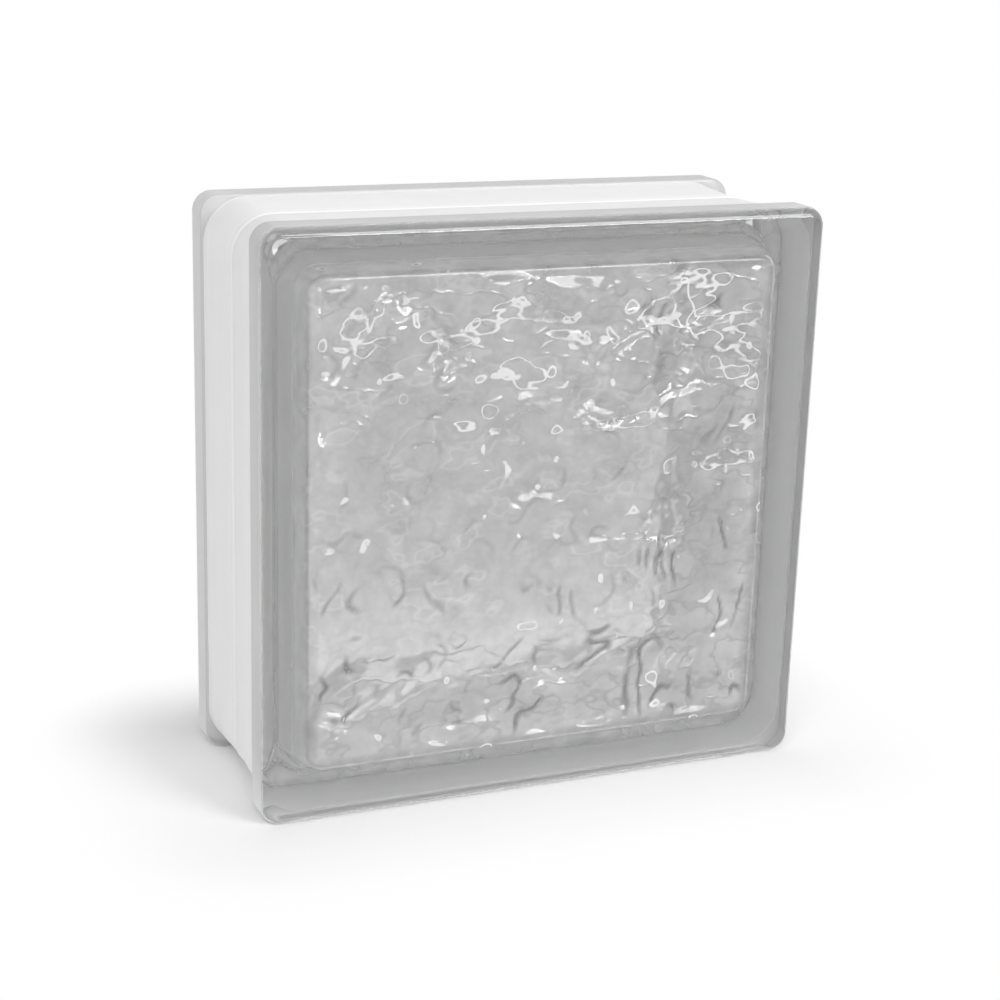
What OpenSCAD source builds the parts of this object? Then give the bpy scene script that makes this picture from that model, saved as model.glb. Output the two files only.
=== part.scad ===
// Hollow square glass block, 190 x 190 x 80 mm, made of two pressed halves fused rim to rim.
// Width runs along X, thickness along Y with the shown face at the front (-Y), height along Z.
// The block stands on its two lower rims, the origin under the middle of the seam.

/* [Block] */

// Width and height of the square faces
face_size = 190; // [140:1:300]
// Thickness from face to face
block_depth = 80; // [70:1:120]

/* [Rim] */

// How far each rim runs in from its face
rim_depth = 13; // [8:0.5:18]
// Corner radius of the rims, seen from the front
rim_corner_radius = 6.5; // [4:0.5:10]
// Rounding along the outer edge of each face
face_edge_radius = 3.5; // [1:0.1:4.5]
// Rounding along the rim's edge beside the mortar channel
rim_back_radius = 0.8; // [0.3:0.1:2]

/* [Mortar channel] */

// How far the side wall starts below the rim
wall_step = 1; // [0.5:0.1:2]
// How far the side wall lies below the rim at the seam
seam_recess = 2.3; // [1.5:0.1:6]
// Corner radius of the side wall at the seam
wall_corner_radius = 13; // [10:0.5:20]

/* [Seam] */

// Width of the bead of glass along the fused seam
bead_width = 4; // [2:0.5:6]
// How far the bead stands out of the side wall
bead_height = 0.5; // [0.2:0.1:0.9]

/* [Cavity] */

// Thickness of each face of glass
face_thickness = 7; // [5:0.5:10]
// Solid border between the outside of the rim and the patterned panel
panel_border = 15.5; // [13:0.5:24]
// Thickness of the side wall at the seam
seam_wall = 5; // [4:0.5:10]
// Corner radius of the panel
panel_corner_radius = 6; // [5:0.5:14]
// Rounding inside the cavity, where the panel meets the side wall
cavity_fillet = 2; // [1:0.5:4]

/* [Part shown] */

// Piece to build, or all of them

/* [Hidden] */

$fn = 96;

// Distances out from the block's middle
half_face = face_size / 2;
half_depth = block_depth / 2;
wall_foot = half_face - wall_step;
wall_seam = half_face - seam_recess;
panel_half = half_face - panel_border;
cavity_seam = wall_seam - seam_wall;

// Heights above the seam
rim_foot = half_depth - rim_depth;
panel_height = half_depth - face_thickness;

// Corner axes, the same distance out along X and Z
rim_axis = half_face - rim_corner_radius;
wall_axis = wall_seam - wall_corner_radius;
cavity_axis = panel_half - panel_corner_radius;

// Slopes of the outer and inner side walls
wall_draft = atan((seam_recess - wall_step) / rim_foot);
cavity_draft = atan((cavity_seam - panel_half) / panel_height);

// Radius of the seam bead's rounded face
bead_radius = (bead_width * bead_width / 4 + bead_height * bead_height) / (2 * bead_height);

// Centre of the arc between panel and side wall
fillet_out = panel_corner_radius + cavity_fillet * tan(cavity_draft) - cavity_fillet / cos(cavity_draft);

// Solid with a rounded square outline: the 2D profile is swept round four corner axes and the straight
// sides between them. The profile's X is the distance out from the axis, its Y the height over the seam.
module rounded_square_solid(axis, bottom, top) {
    for (turn = [0 : 90 : 270]) {
        rotate([0, 0, turn]) {
            translate([axis, axis, 0])
                rotate_extrude(angle = 90)
                    children();
            translate([axis, axis, 0])
                rotate([90, 0, 0])
                    linear_extrude(height = 2 * axis)
                        children();
        }
    }
    translate([-axis, -axis, bottom])
        cube([2 * axis, 2 * axis, top - bottom]);
}

// What a rounding takes off a square corner at the origin, the glass lying towards -X and -Y
module corner_rounding(radius) {
    difference() {
        translate([-radius, -radius])
            square(radius + 1);
        translate([-radius, -radius])
            circle(r = radius);
    }
}

// Rim with a rounded edge at the face and a smaller one beside the channel
module rim_profile() {
    difference() {
        translate([0, rim_foot])
            square([rim_corner_radius, rim_depth]);
        translate([rim_corner_radius, half_depth])
            corner_rounding(face_edge_radius);
        translate([rim_corner_radius, rim_foot])
            rotate(-90)
                corner_rounding(rim_back_radius);
    }
}

// Side wall that leans in from the rim's foot to the seam, with half of the seam bead
module wall_profile() {
    polygon([
        [0, 0],
        [wall_corner_radius, 0],
        [wall_corner_radius + seam_recess - wall_step, rim_foot],
        [wall_corner_radius + seam_recess - wall_step, rim_foot + rim_depth / 2],
        [0, rim_foot + rim_depth / 2]
    ]);
    intersection() {
        translate([wall_corner_radius + bead_height - bead_radius, 0])
            circle(r = bead_radius);
        translate([wall_corner_radius / 2, 0])
            square([wall_corner_radius, bead_width / 2]);
    }
}

// Drafted cavity with its rounding under the panel, taken below the seam so that the cut is clean
module cavity_profile() {
    polygon([
        [0, -1],
        [panel_corner_radius + (panel_height + 1) * tan(cavity_draft), -1],
        [fillet_out + cavity_fillet * cos(cavity_draft),
         panel_height - cavity_fillet + cavity_fillet * sin(cavity_draft)],
        [fillet_out, panel_height],
        [0, panel_height]
    ]);
    translate([fillet_out, panel_height - cavity_fillet])
        intersection() {
            circle(r = cavity_fillet);
            square(cavity_fillet);
        }
}

// One pressed half, its seam on the XY plane and its face up
module pressed_half() {
    difference() {
        union() {
            rounded_square_solid(wall_axis, 0, rim_foot + rim_depth / 2)
                wall_profile();
            rounded_square_solid(rim_axis, rim_foot, half_depth)
                rim_profile();
        }
        rounded_square_solid(cavity_axis, -1, panel_height)
            cavity_profile();
    }
}

// Half with the shown face
module front_half() {
    color([0.78, 0.80, 0.80])
        translate([0, 0, half_face])
            rotate([90, 0, 0])
                pressed_half();
}

// The same half turned to face the back
module back_half() {
    color([0.74, 0.76, 0.76])
        translate([0, 0, half_face])
            rotate([0, 0, 180])
                rotate([90, 0, 0])
                    pressed_half();
}

front_half();
back_half();
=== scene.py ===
"""Glass block: looks, floor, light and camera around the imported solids."""

import math

import bpy
import numpy as np
from mathutils import Matrix, Vector


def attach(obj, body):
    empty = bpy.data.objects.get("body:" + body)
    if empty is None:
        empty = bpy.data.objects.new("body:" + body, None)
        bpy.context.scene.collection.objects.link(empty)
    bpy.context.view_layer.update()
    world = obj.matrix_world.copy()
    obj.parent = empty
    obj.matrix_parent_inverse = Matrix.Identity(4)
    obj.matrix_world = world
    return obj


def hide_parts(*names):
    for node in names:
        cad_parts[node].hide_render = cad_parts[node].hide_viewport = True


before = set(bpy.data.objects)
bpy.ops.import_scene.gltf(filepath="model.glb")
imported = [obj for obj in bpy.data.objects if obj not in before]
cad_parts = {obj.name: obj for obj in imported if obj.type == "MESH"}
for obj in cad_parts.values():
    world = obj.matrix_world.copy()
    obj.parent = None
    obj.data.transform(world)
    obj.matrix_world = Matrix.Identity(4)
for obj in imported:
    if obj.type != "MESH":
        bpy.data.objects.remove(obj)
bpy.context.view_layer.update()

MM = 0.001

# Sizes in millimetres, the same as the solids'
HALF_FACE = 95.0
HALF_DEPTH = 40.0
RIM_DEPTH = 13.0
RIM_CORNER = 6.5
FACE_EDGE = 3.5
RIM_BACK = 0.8
WALL_FOOT = 94.0
WALL_SEAM = 92.7
WALL_CORNER = 13.0
BEAD_HALF = 2.0
BEAD_HEIGHT = 0.5
FACE_THICKNESS = 7.0
PANEL_HALF = 79.5
PANEL_CORNER = 6.0
CAVITY_SEAM = 87.7
CAVITY_FILLET = 2.0

# Worked out from them: depths from the seam, the cavity's draft and corner axes, the panel's flat part
RIM_FOOT = HALF_DEPTH - RIM_DEPTH
PANEL_DEPTH = HALF_DEPTH - FACE_THICKNESS
CAVITY_DRAFT = math.atan((CAVITY_SEAM - PANEL_HALF) / PANEL_DEPTH)
CAVITY_AXIS = PANEL_HALF - PANEL_CORNER
FLAT_CORNER = PANEL_CORNER + CAVITY_FILLET * math.tan(CAVITY_DRAFT) - CAVITY_FILLET / math.cos(CAVITY_DRAFT)
FLAT_HALF = CAVITY_AXIS + FLAT_CORNER

# Half thickness of the seam's film, and its distance from the glass surfaces
FILM = 0.05

# Extra rows of the mesh that keep its shading level, by their distance from the edge beside them
FACE_ROW = 6.0
EDGE_ROW = 0.4
COAT_ROW = 0.05
BEAD_ROW = 0.3

# Steps of the mesh round each rounding, along each wall and across a panel
EDGE_STEPS = 8
BACK_STEPS = 4
WALL_STEPS = 8
BEAD_STEPS = 4
FILLET_STEPS = 5
CAVITY_STEPS = 3
OUTLINE_STEPS = 10
PANEL_CELLS = 196

# The bead's shoulders are fuller than a sine by this power
BEAD_POWER = 0.8

# Relief of the panels: seeds, heights, and the widths over which it and its haze fade out
FRONT_SEED, BACK_SEED = 11, 47
PLATE_LEVELS = (-0.18, 0.16)
PLATE_SLOPE = 0.12
PLATE_HEIGHT = 0.8
FOLD_HEIGHT = 0.4
RELIEF_FADE = 3.0
HAZE_FADE = 6.0

# Light is painted on the outside, paler glass below and on the right: it begins and is complete this far
# out from the middle
PAINTED_LIGHT_START, PAINTED_LIGHT_END = 80, 94

# Material slots of the mesh, and the marks that its points carry for the glass
GLASS, COAT, SEAM = range(3)
MARKS = ("haze", "satin", "fold", "lively", "busy", "pale", "lip")


# Outlines

def outline_key(cells, half, corner):
    """Points round a square's border as (quarter turn, kind, value).

    Along a side the value is a share of its straight half, and in a corner an angle."""
    keys = []
    straight = half - corner
    for turn in range(4):
        for i in range(cells):
            across = half * (2.0 * i / cells - 1.0)
            if abs(across) <= straight:
                keys.append((turn, 0, across / straight))
            else:
                a = (abs(across) - straight) / corner
                angle = math.atan2(a * math.sqrt(0.5), math.sqrt(1 - a * a / 2))
                keys.append((turn, 1 if across > 0 else -1, angle))
    return keys


def even_keys(side, corner):
    """Keys of an outline with that many steps along each straight side and round each half corner."""
    keys = []
    for turn in range(4):
        for i in range(corner, 0, -1):
            keys.append((turn, -1, math.radians(45.0) * i / corner))
        for i in range(side + 1):
            keys.append((turn, 0, 2.0 * i / side - 1.0))
        for i in range(1, corner):
            keys.append((turn, 1, math.radians(45.0) * i / corner))
    return keys


def outline(keys, half, corner):
    """The rounded square of that half size and corner radius, one point of (x, z) per key."""
    out = np.empty((len(keys), 2))
    straight = half - corner
    for k, (turn, kind, value) in enumerate(keys):
        if kind == 0:
            p = (value * straight, -half)
        else:
            p = (kind * (straight + corner * math.sin(value)), -(straight + corner * math.cos(value)))
        for _ in range(turn):
            p = (-p[1], p[0])
        out[k] = p
    return out


def at_depth(ring, y):
    """The outline's points at that depth from the seam."""
    return [(x, y, z) for x, z in ring]


# Relief of the pressed panels

def lattice_noise(x, y, seed):
    """Gradient noise of about -0.7 to 0.7 on a unit lattice."""
    size = 64
    rng = np.random.RandomState(seed)
    angle = rng.rand(size, size) * 2 * math.pi
    gx, gy = np.cos(angle), np.sin(angle)
    xi, yi = np.floor(x).astype(int), np.floor(y).astype(int)
    xf, yf = x - xi, y - yi
    u = xf ** 3 * (xf * (xf * 6 - 15) + 10)
    v = yf ** 3 * (yf * (yf * 6 - 15) + 10)

    def corner(i, j):
        a, b = (xi + i) % size, (yi + j) % size
        return gx[a, b] * (xf - i) + gy[a, b] * (yf - j)

    low = corner(0, 0) * (1 - u) + corner(1, 0) * u
    high = corner(0, 1) * (1 - u) + corner(1, 1) * u
    return low * (1 - v) + high * v


def smooth(low, high, value):
    """0 at low and 1 at high, with a soft start and end."""
    s = np.clip((value - low) / (high - low), 0, 1)
    return s * s * (3 - 2 * s)


def relief(x, z, seed):
    """Ice-like relief over the panel, x to the right and z up from its middle, in millimetres.

    Returns the height over the mean plane, and marks from 0 to 1 for the shade painted on the folds, for
    where glints are painted, for the busy parts and for the light painted below and on the right."""

    def waves(draw, size, height=1.0, at=(x, z)):
        """Noise from that draw, its waves of that size, or of that width and height over the panel."""
        wide, high = np.broadcast_to(size, 2)
        return height * lattice_noise(at[0] / wide, at[1] / high, seed + draw)

    # Places bent by slow and quick waves, so that outlines wander
    wx = x + waves(1, size=28, height=9) + waves(2, size=9, height=3)
    wz = z + waves(3, size=28, height=9) + waves(4, size=9, height=3)
    bent = (wx, wz)
    # Busy towards the top, the right and the bottom, calm in the middle
    patches = waves(5, size=19)
    zone = smooth(0, 50, z) + 0.8 * smooth(15, 55, x) + 0.8 * smooth(-30, -60, z)
    busy = np.clip(0.15 + 0.8 * zone + 1.2 * patches, 0.15, 1)
    swell = waves(6, size=42, height=1.2)
    wave = waves(7, size=17, height=0.8, at=bent)
    # Plates: flats at a few levels with rounded steps between
    level = waves(8, size=(26, 19), at=bent)
    steps = (smooth(edge - PLATE_SLOPE, edge + PLATE_SLOPE, level) for edge in PLATE_LEVELS)
    plates = sum(PLATE_HEIGHT * step for step in steps)
    # Folds: narrow ridges that stand upright on the right
    upright = smooth(10, 50, x)
    across = waves(9, size=(12, 11), at=bent) * (1 - upright)
    across = across + waves(10, size=(8, 26), at=bent) * upright
    # The slope per grid cell keeps them from spreading where the noise is flat
    slope = np.hypot(*np.gradient(across))
    folds = np.clip(1.5 - np.abs(across) / (0.03 + 0.5 * slope), 0, 1)
    folds = folds * smooth(0.05, 0.3, waves(16, size=15))
    fine = waves(12, size=4.6, height=0.2, at=bent) + waves(13, size=2.6, height=0.08, at=bent)
    height = swell + wave + busy * (plates + FOLD_HEIGHT * folds + fine)
    # Shade painted along the folds, darkest on the right and below
    dark = folds * np.clip(0.55 + upright + smooth(-10, -40, z), 0, 1)
    # Where glints are painted: long patches, most of them towards the top
    isles = waves(14, size=(27, 11), at=bent)
    lively = smooth(-0.12, 0.22, isles + 0.12 * smooth(20, 60, x) * smooth(20, 60, z))
    lively = lively * np.clip(0.12 + smooth(0, 40, z + 0.2 * x), 0, 1)
    # Light painted paler below and on the right
    pale = np.clip(smooth(-15, -70, z) + 0.65 * smooth(25, 60, x), 0, 1)
    return height, {"fold": dark, "lively": lively, "busy": np.maximum(busy, 0.4), "pale": pale}


def panel_mask(x, z, half):
    """1 over the panel and 0 at its edge."""
    gap = half - np.maximum(np.abs(x), np.abs(z))
    return smooth(0.0, RELIEF_FADE, gap)


# Mesh of the fused block

def panel_grid(half, corner, cells):
    """Square grid pulled in to a rounded square."""
    u = np.linspace(-half, half, cells + 1)
    x, z = np.meshgrid(u, u, indexing="ij")
    straight = half - corner
    a = np.clip((np.abs(x) - straight) / corner, 0, 1)
    b = np.clip((np.abs(z) - straight) / corner, 0, 1)
    both = (a > 0) & (b > 0)
    px = np.where(both, np.sign(x) * (straight + corner * a * np.sqrt(1 - b * b / 2)), x)
    pz = np.where(both, np.sign(z) * (straight + corner * b * np.sqrt(1 - a * a / 2)), z)
    return px, pz


def border_indices(n):
    """Indices round the border of a grid of n by n cells, in the order of outline_key."""
    out = [(i, 0) for i in range(n)]
    out += [(n, j) for j in range(n)]
    out += [(n - i, n) for i in range(n)]
    out += [(0, n - j) for j in range(n)]
    return out


class Shell:
    """Collects points with their marks, and faces with their slots, in millimetres."""

    def __init__(self):
        self.points = []
        self.marks = {name: [] for name in MARKS}
        self.faces = []
        self.slots = []

    def add(self, points, **marks):
        """New points, each mark one number for all of them or one for each, from 0 to 1."""
        first = len(self.points)
        self.points.extend(points)
        for name, values in self.marks.items():
            values.extend(np.broadcast_to(marks.get(name, 0.0), len(points)).tolist())
        return list(range(first, len(self.points)))

    def face(self, indices, slot):
        self.faces.append(tuple(indices))
        self.slots.append(slot)

    def strip(self, a, b, slot):
        """Closed strip of faces between two rings of points."""
        n = len(a)
        for i in range(n):
            j = (i + 1) % n
            self.face((a[i], b[i], b[j], a[j]), slot)


def outer_rows():
    """Rows of the outside from the front face's edge to the seam.

    Each is (half size, corner radius, depth from the seam, slot of the strip to the next row)."""
    rows = []
    e = FACE_EDGE
    for inset in (FACE_ROW, EDGE_ROW):
        rows.append((HALF_FACE - e - inset, RIM_CORNER - e, HALF_DEPTH, GLASS))
    for i in range(EDGE_STEPS + 1):
        f = math.radians(90.0 * i / EDGE_STEPS)
        out = e * math.sin(f)
        rows.append((HALF_FACE - e + out, RIM_CORNER - e + out, HALF_DEPTH - e + e * math.cos(f), GLASS))
    r = RIM_BACK
    for i in range(BACK_STEPS + 1):
        f = math.radians(90.0 * i / BACK_STEPS)
        out = r * math.cos(f)
        rows.append((HALF_FACE - r + out, RIM_CORNER - r + out, RIM_FOOT + r - r * math.sin(f), GLASS))
    lean = WALL_SEAM - WALL_FOOT
    top = RIM_FOOT - EDGE_ROW
    rows.append((WALL_FOOT + COAT_ROW, WALL_CORNER - lean, RIM_FOOT, COAT))
    rows.append((WALL_FOOT, WALL_CORNER - lean, top, COAT))
    for i in range(1, WALL_STEPS + 1):
        d = top - (top - BEAD_HALF - BEAD_ROW) * i / WALL_STEPS
        s = 1 - d / RIM_FOOT
        rows.append((WALL_FOOT + lean * s, WALL_CORNER - lean + lean * s, d, COAT))
    for i in range(BEAD_STEPS + 1):
        f = i / BEAD_STEPS
        rise = BEAD_HEIGHT * math.sin(math.radians(90.0 * f)) ** BEAD_POWER
        rows.append((WALL_SEAM + rise, WALL_CORNER + rise, BEAD_HALF * (1 - f), COAT))
    return rows


def inner_rows():
    """Rows of the cavity from beside the panel's edge to the seam.

    Each is (half size, corner radius, depth from the seam)."""
    rows = []
    f = CAVITY_FILLET
    for i in range(1, FILLET_STEPS + 1):
        a = (math.radians(90.0) - CAVITY_DRAFT) * i / FILLET_STEPS
        out = FLAT_CORNER + f * math.sin(a)
        rows.append((CAVITY_AXIS + out, out, PANEL_DEPTH - f + f * math.cos(a)))
    low = rows[-1][2]
    for i in range(1, CAVITY_STEPS + 1):
        d = low * (1 - i / CAVITY_STEPS)
        out = PANEL_CORNER + (PANEL_DEPTH - d) * math.tan(CAVITY_DRAFT)
        rows.append((CAVITY_AXIS + out, out, d))
    return rows


def both_halves(rows):
    """The front half's rows, up to the seam, and then the back half's."""
    return [(h, c, -d) for h, c, d in rows] + [(h, c, d) for h, c, d in reversed(rows[:-1])]


def add_outside(shell, keys):
    """Rows from the front face's edge over the seam to the back face's edge, and the two faces."""
    front = outer_rows()
    slots = [slot for *_, slot in front[:-1]]
    slots = slots + slots[::-1]
    rings = []
    for h, c, y in both_halves([row[:3] for row in front]):
        satin = smooth(HALF_DEPTH - 0.35 * FACE_EDGE, HALF_DEPTH - FACE_EDGE, abs(y))
        # Painted shade on the rim's back step, which faces the lamps
        lip = smooth(RIM_FOOT + RIM_BACK, RIM_FOOT + 0.5 * RIM_BACK, abs(y))
        ring = outline(keys, h, c)
        # Painted light: the outside is painted paler below and on the right
        below = smooth(-PAINTED_LIGHT_START, -PAINTED_LIGHT_END, ring[:, 1])
        right = smooth(PAINTED_LIGHT_START, PAINTED_LIGHT_END, ring[:, 0] * -np.sign(y))
        pale = np.maximum(below, 0.5 * right)
        rings.append(shell.add(at_depth(ring, y), satin=satin, lip=lip, pale=pale))
    for a, b, slot in zip(rings[:-1], rings[1:], slots):
        shell.strip(a, b, slot)
    shell.face(rings[0], GLASS)
    shell.face(rings[-1][::-1], GLASS)


def add_film(shell, keys):
    """Fused joint between the halves, a faint film across the side walls."""
    near = (CAVITY_SEAM + FILM, PANEL_CORNER + CAVITY_SEAM - PANEL_HALF + FILM)
    far = (WALL_SEAM - FILM, WALL_CORNER - FILM)
    rings = []
    for (h, c), y in ((near, -FILM), (far, -FILM), (far, FILM), (near, FILM)):
        rings.append(shell.add(at_depth(outline(keys, h, c), y)))
    for a, b in zip(rings, rings[1:] + rings[:1]):
        shell.strip(a, b, SEAM)


def add_panel(shell, side, seed):
    """Relief of the front for side -1 and of the back for side 1; returns the points round its border."""
    n = PANEL_CELLS
    px, pz = panel_grid(FLAT_HALF, FLAT_CORNER, n)
    mask = panel_mask(px, pz, FLAT_HALF)
    rise, marks = relief(px * -side, pz, seed)
    y = side * (PANEL_DEPTH - (rise - rise.mean()) * mask)
    points = list(zip(px.ravel(), y.ravel(), pz.ravel()))
    ids = shell.add(points, haze=1.0, **{name: (mark * mask).ravel() for name, mark in marks.items()})
    ids = np.array(ids).reshape(n + 1, n + 1)
    for i in range(n):
        for j in range(n):
            q = (ids[i, j], ids[i, j + 1], ids[i + 1, j + 1], ids[i + 1, j])
            shell.face(q if side < 0 else q[::-1], GLASS)
    return [ids[i, j] for i, j in border_indices(n)]


def add_inside(shell):
    """The two reliefs and the drafted walls between them."""
    front = add_panel(shell, -1, FRONT_SEED)
    back = add_panel(shell, 1, BACK_SEED)
    keys = outline_key(PANEL_CELLS, FLAT_HALF, FLAT_CORNER)
    rings = []
    for h, c, y in both_halves(inner_rows()):
        haze = smooth(PANEL_DEPTH - HAZE_FADE, PANEL_DEPTH, abs(y))
        satin = haze if y > 0 else 0.0
        rings.append(shell.add(at_depth(outline(keys, h, c), y), haze=haze, satin=satin))
    rings = [front, *rings, back]
    for a, b in zip(rings[:-1], rings[1:]):
        shell.strip(b, a, GLASS)


def block_mesh():
    """The whole block in metres, standing on the floor."""
    shell = Shell()
    keys = even_keys(OUTLINE_STEPS, OUTLINE_STEPS)
    add_outside(shell, keys)
    add_film(shell, keys)
    add_inside(shell)

    mesh = bpy.data.meshes.new("glass_block")
    points = np.array(shell.points)
    points[:, 2] += HALF_FACE
    mesh.from_pydata((points * MM).tolist(), [], shell.faces)
    mesh.polygons.foreach_set("material_index", shell.slots)
    mesh.polygons.foreach_set("use_smooth", [True] * len(mesh.polygons))
    for name, values in shell.marks.items():
        mesh.attributes.new(name, "FLOAT", "POINT").data.foreach_set("value", values)
    mesh.update()
    return mesh


# Materials

# Where most of a noise's values lie
NOISE_LOW, NOISE_HIGH = 0.25, 0.75

WHITE = (1.0, 1.0, 1.0)
HAZE_DARK = (0.52, 0.511, 0.518)
HAZE_LIGHT = (0.71, 0.701, 0.708)
HAZE_PAINTED_LIGHT = (0.92, 0.91, 0.917)
PAINTED_SHADE_GREY = (0.4, 0.395, 0.4)
CLEAR_GLASS = (0.985, 0.99, 0.985)
SATIN_GREY = (0.61, 0.615, 0.61)
SATIN_PAINTED_LIGHT = (0.88, 0.885, 0.88)
STEP_SHADE_GREY = (0.5, 0.505, 0.5)
FOLD_SHADE_GREY = (0.3, 0.3, 0.3)
COAT_DARK = (0.925, 0.93, 0.925)
COAT_LIGHT = (0.985, 0.985, 0.985)


def material(name):
    m = bpy.data.materials.new(name)
    m.use_nodes = True
    nt = m.node_tree
    return m, nt, nt.nodes["Principled BSDF"]


def add_node(nt, kind, **inputs):
    node = nt.nodes.new(kind)
    for name, value in inputs.items():
        node.inputs[name.replace("_", " ")].default_value = value
    return node


def noise(nt, scale, detail, rough=0.5):
    """Noise over the object's own coordinates, with that many waves per metre along X, Y and Z.

    The detail counts the finer octaves, and rough is the share that each keeps of the one before."""
    where = nt.nodes.new("ShaderNodeTexCoord")
    size = nt.nodes.new("ShaderNodeVectorMath")
    size.operation = "MULTIPLY"
    size.inputs[1].default_value = scale
    n = add_node(nt, "ShaderNodeTexNoise", Scale=1.0, Detail=detail, Roughness=rough)
    nt.links.new(where.outputs["Object"], size.inputs[0])
    nt.links.new(size.outputs["Vector"], n.inputs["Vector"])
    return n.outputs["Fac"]


def span(nt, value, low, high, from_low=NOISE_LOW, from_high=NOISE_HIGH):
    """That value's range stretched to low..high, and held there beyond its ends."""
    r = add_node(nt, "ShaderNodeMapRange", From_Min=from_low, From_Max=from_high, To_Min=low, To_Max=high)
    nt.links.new(value, r.inputs["Value"])
    return r.outputs["Result"]


def share(nt, value, low, high):
    """From low to high as the value goes from 0 to 1."""
    return span(nt, value, low, high, 0.0, 1.0)


def blend(nt, value, low, high):
    """Colour from low to high as the value goes from 0 to 1."""
    m = nt.nodes.new("ShaderNodeMix")
    m.data_type = "RGBA"
    nt.links.new(value, m.inputs["Factor"])
    for place, colour in ((m.inputs[6], low), (m.inputs[7], high)):
        if isinstance(colour, tuple):
            place.default_value = (*colour, 1)
        else:
            nt.links.new(colour, place)
    return m.outputs[2]


def bump(nt, principled, value, height):
    """Bump of that height in millimetres."""
    b = add_node(nt, "ShaderNodeBump", Distance=height * MM)
    nt.links.new(value, b.inputs["Height"])
    nt.links.new(b.outputs["Normal"], principled.inputs["Normal"])


def attribute(nt, name):
    a = nt.nodes.new("ShaderNodeAttribute")
    a.attribute_name = name
    return a.outputs["Fac"]


def combine(nt, operation, a, b):
    """Math of two values, each a socket or a number."""
    m = nt.nodes.new("ShaderNodeMath")
    m.operation = operation
    for place, value in zip(m.inputs, (a, b)):
        if isinstance(value, float):
            place.default_value = value
        else:
            nt.links.new(value, place)
    return m.outputs[0]


def product(nt, a, b):
    return combine(nt, "MULTIPLY", a, b)


def contour(nt, value, level, width, flat=0.4):
    """1 where the value is at that level, falling to 0 at the width to either side.

    It stays at 1 over the flat share of the width."""
    away = combine(nt, "ABSOLUTE", combine(nt, "SUBTRACT", value, level), 0.0)
    return span(nt, away, 1.0, 0.0, flat * width, width)


def mix_surface(nt, factor, first, second):
    """Surface that goes from the first shader to the second, the factor a socket or a number."""
    mix = nt.nodes.new("ShaderNodeMixShader")
    if isinstance(factor, float):
        mix.inputs["Fac"].default_value = factor
    else:
        nt.links.new(factor, mix.inputs["Fac"])
    nt.links.new(first.outputs[0], mix.inputs[1])
    nt.links.new(second.outputs[0], mix.inputs[2])
    nt.links.new(mix.outputs[0], nt.nodes["Material Output"].inputs["Surface"])


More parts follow.
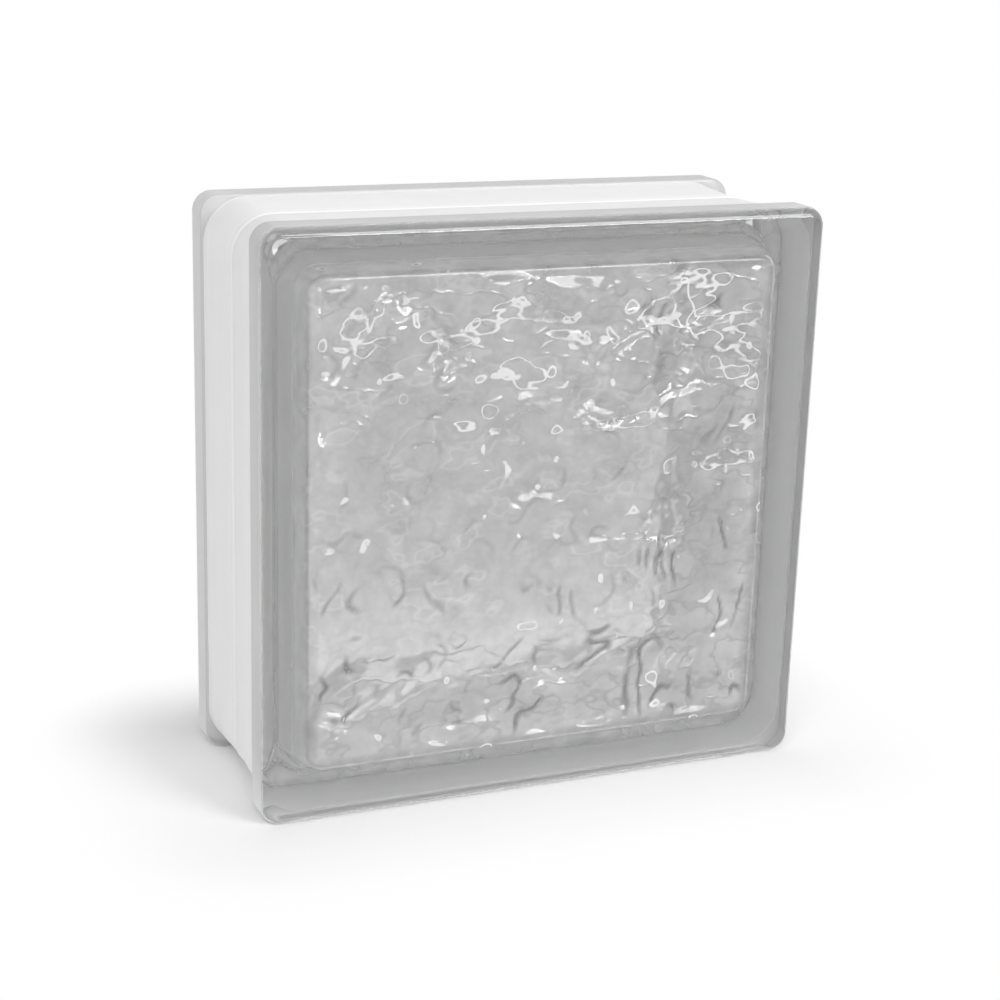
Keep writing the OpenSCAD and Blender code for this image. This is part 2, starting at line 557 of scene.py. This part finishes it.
def glass_material():
    """Pressed glass, clear in its borders and satin on the rims.

    On the reliefs it is grey and hazy, with white glints painted on the outlines of islands and rings,
    shade painted next to them and along the folds and crinkles, highlight lines painted along the grain,
    and light painted below and on the right; the rim's step has painted shade."""
    m, nt, p = material("pressed_glass")
    haze, satin, fold, lively, busy, pale, lip = (attribute(nt, name) for name in MARKS)
    cloud = noise(nt, (80, 80, 80), detail=4.0, rough=0.6)
    grain = noise(nt, (70, 70, 110), detail=2.0, rough=0.6)

    # Painted glints: white outlines of long islands and of small rings, which calm parts lack
    isles = noise(nt, (29, 29, 64), detail=3.0, rough=0.65)
    isles = combine(nt, "ADD", isles, share(nt, lively, -0.28, 0.0))
    isle_level = 0.51
    rings = noise(nt, (170, 170, 170), detail=0.0)
    rings = combine(nt, "ADD", rings, share(nt, lively, -0.17, 0.0))
    painted_glint = contour(nt, isles, isle_level, width=0.026)
    painted_glint = combine(nt, "MAXIMUM", painted_glint, contour(nt, rings, level=0.67, width=0.04))
    painted_glint = product(nt, painted_glint, product(nt, haze, span(nt, cloud, 0.2, 1.0, 0.4, 0.48)))
    # Painted shade: greyer glass next to the islands' outlines
    glint_shade = product(nt, contour(nt, isles, isle_level, width=0.06), 0.4)
    # Highlight lines painted along the grain, and shade painted along the crinkles, whose bump is real
    highlight_lines = product(nt, contour(nt, grain, level=0.6, width=0.03), 0.35)
    crinkles = product(nt, contour(nt, grain, level=0.5, width=0.05, flat=0.0), busy)

    colour = blend(nt, span(nt, cloud, 0.0, 1.0), HAZE_DARK, HAZE_LIGHT)
    # Painted light: paler below and on the right
    colour = blend(nt, pale, colour, HAZE_PAINTED_LIGHT)
    # Highlight lines painted along the grain
    colour = blend(nt, highlight_lines, colour, HAZE_PAINTED_LIGHT)
    # Shade painted along the crinkles
    colour = blend(nt, product(nt, crinkles, 0.4), colour, PAINTED_SHADE_GREY)
    # Painted shade next to the glint outlines
    colour = blend(nt, glint_shade, colour, PAINTED_SHADE_GREY)
    colour = blend(nt, haze, CLEAR_GLASS, colour)
    # Satin rims, paler where light is painted below and on the right
    colour = blend(nt, satin, colour, blend(nt, pale, SATIN_GREY, SATIN_PAINTED_LIGHT))
    # Painted shade on the rim's step
    colour = blend(nt, lip, colour, STEP_SHADE_GREY)
    # Painted shade along the folds
    colour = blend(nt, fold, colour, FOLD_SHADE_GREY)
    # Painted white glints on top
    colour = blend(nt, painted_glint, colour, WHITE)
    nt.links.new(colour, p.inputs["Base Color"])

    nt.links.new(share(nt, satin, 0.0, 0.35), p.inputs["Roughness"])
    p.inputs["IOR"].default_value = 1.52
    clear = share(nt, product(nt, haze, span(nt, cloud, 0.3, 0.5)), 1.0, 0.0)
    clear = product(nt, clear, share(nt, satin, 1.0, 0.2))
    # Less clear glass under the painted glints
    clear = product(nt, clear, share(nt, painted_glint, 1.0, 0.15))
    nt.links.new(clear, p.inputs["Transmission Weight"])
    ripple = product(nt, grain, share(nt, haze, 0.03, 0.3))
    bump(nt, p, combine(nt, "ADD", ripple, crinkles), height=0.1)
    body = add_node(nt, "ShaderNodeVolumeAbsorption", Color=(0.79, 0.805, 0.795, 1), Density=1.5)
    nt.links.new(body.outputs[0], nt.nodes["Material Output"].inputs["Volume"])
    return m


def coat_material():
    """White bonding coat in the mortar channel, thin enough to let some light in."""
    m, nt, p = material("edge_coat")
    streaks = noise(nt, (12, 90, 12), detail=2.0)
    colour = blend(nt, span(nt, streaks, 0.0, 1.0), COAT_DARK, COAT_LIGHT)
    nt.links.new(colour, p.inputs["Base Color"])
    nt.links.new(span(nt, noise(nt, (120, 120, 120), detail=1.0), 0.35, 0.6), p.inputs["Roughness"])
    p.inputs["IOR"].default_value = 1.5
    bump(nt, p, noise(nt, (700, 700, 700), detail=0.0), height=0.05)
    through = nt.nodes.new("ShaderNodeBsdfTranslucent")
    nt.links.new(colour, through.inputs["Color"])
    mix_surface(nt, 0.05, p, through)
    return m


def matt(principled, grey):
    """Sets a plain grey without any gloss."""
    principled.inputs["Base Color"].default_value = (grey, grey, grey, 1)
    principled.inputs["Roughness"].default_value = 0.9
    principled.inputs["Specular IOR Level"].default_value = 0.0


def seam_material():
    """Faint film of the fused joint, seen edge to edge through the side walls."""
    m, nt, p = material("fused_seam")
    matt(p, 0.97)
    nt.links.new(span(nt, noise(nt, (90, 90, 90), detail=2.0), 0.18, 0.38), p.inputs["Alpha"])
    return m


mesh = block_mesh()
block = bpy.data.objects.new("glass_block", mesh)
bpy.context.collection.objects.link(block)
for look in (glass_material(), coat_material(), seam_material()):
    mesh.materials.append(look)
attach(block, "root")
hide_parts("front_half", "back_half")


# Floor, in metres

FLOOR_HALF = 9.0
FLOOR_GAP = 0.0001
SHADOW_REACH = 0.06


def in_glass(nt):
    """1 for what a mirror or glass shows, and 0 for the rest."""
    path = nt.nodes.new("ShaderNodeLightPath")
    return combine(nt, "MAXIMUM", path.outputs["Is Transmission Ray"], path.outputs["Is Glossy Ray"])


def to_the_eye(nt):
    """1 for what the eye sees at first hand, and 0 for the rest."""
    return nt.nodes.new("ShaderNodeLightPath").outputs["Is Camera Ray"]


def footprint_distance(nt):
    """How far a point of the floor is from the block's footprint, in metres."""
    value = nt.nodes.new("ShaderNodeNewGeometry").outputs["Position"]
    half = (HALF_FACE * MM, HALF_DEPTH * MM, 0)
    steps = (("ABSOLUTE", None), ("SUBTRACT", half), ("MAXIMUM", (0, 0, 0)), ("LENGTH", None))
    for operation, other in steps:
        step = nt.nodes.new("ShaderNodeVectorMath")
        step.operation = operation
        nt.links.new(value, step.inputs[0])
        if other is not None:
            step.inputs[1].default_value = other
        value = step.outputs["Value" if operation == "LENGTH" else "Vector"]
    return value


def floor_material():
    """Pale floor that is plain white in mirrors and through glass, and to the eye away from the object."""
    m, nt, p = material("floor")
    matt(p, 0.95)
    fade = span(nt, footprint_distance(nt), 0.0, 1.0, 0.0, SHADOW_REACH)
    fade.node.interpolation_type = "SMOOTHSTEP"
    plain = combine(nt, "MAXIMUM", product(nt, fade, to_the_eye(nt)), in_glass(nt))
    mix_surface(nt, plain, p, nt.nodes.new("ShaderNodeEmission"))
    return m


floor_mesh = bpy.data.meshes.new("floor")
signs = ((-1, -1), (1, -1), (1, 1), (-1, 1))
corners = [(sx * FLOOR_HALF, sy * FLOOR_HALF, -FLOOR_GAP) for sx, sy in signs]
floor_mesh.from_pydata(corners, [], [(0, 1, 2, 3)])
floor = bpy.data.objects.new("floor", floor_mesh)
bpy.context.collection.objects.link(floor)
floor_mesh.materials.append(floor_material())


# Light, in metres and watts

AMBIENT = 0.45
MIDDLE = (0, 0, HALF_FACE * MM)

scene = bpy.context.scene
scene.view_settings.view_transform = "Standard"

world = bpy.data.worlds.new("studio")
scene.world = world
world.use_nodes = True

# White to the eye, in mirrors and through glass, and dimmer as a source of light
sky = world.node_tree
sky.nodes["Background"].inputs["Color"].default_value = (*WHITE, 1)
seen = combine(sky, "MAXIMUM", to_the_eye(sky), in_glass(sky))
sky.links.new(share(sky, seen, AMBIENT, 1.0), sky.nodes["Background"].inputs["Strength"])


def soft_box(name, at, width, height, power):
    """Lamp of that size, turned to the block's middle and not itself in the picture."""
    lamp = bpy.data.lights.new(name, "AREA")
    lamp.shape = "RECTANGLE"
    lamp.size = width
    lamp.size_y = height
    lamp.energy = power
    o = bpy.data.objects.new(name, lamp)
    bpy.context.collection.objects.link(o)
    o.location = at
    o.rotation_mode = "QUATERNION"
    o.rotation_quaternion = (Vector(MIDDLE) - Vector(at)).to_track_quat("-Z", "Y")
    o.visible_camera = False


soft_box("key_box", at=(-0.55, -0.95, 1.1), width=1.0, height=1.0, power=8.8)
soft_box("edge_box", at=(0.525, -1.0, 0.62), width=0.55, height=0.6, power=7.6)
soft_box("spark_strip", at=(0.44, -0.95, 0.36), width=0.55, height=0.06, power=1.3)


# Camera at the photograph's angle: degrees, metres, and the focal length in widths of the sensor

AZIMUTH, ELEVATION, ROLL = -23.4, 16.72, 1.73
CAMERA_PLACE = (-0.26529, -0.61283, 0.28887)
FOCAL_WIDTHS = 2.072


def camera():
    azimuth, elevation, roll = map(math.radians, (AZIMUTH, ELEVATION, ROLL))
    cam = bpy.data.cameras.new("camera")
    cam.sensor_width = 36.0
    cam.lens = FOCAL_WIDTHS * cam.sensor_width
    cam.clip_start = 0.01
    cam.clip_end = 50.0
    o = bpy.data.objects.new("camera", cam)
    bpy.context.collection.objects.link(o)
    level = math.cos(elevation)
    forward = Vector((-math.sin(azimuth) * level, math.cos(azimuth) * level, -math.sin(elevation)))
    turn = forward.to_track_quat("-Z", "Y").to_matrix().to_4x4() @ Matrix.Rotation(roll, 4, "Z")
    turn.translation = Vector(CAMERA_PLACE)
    o.matrix_world = turn
    scene.camera = o


camera()
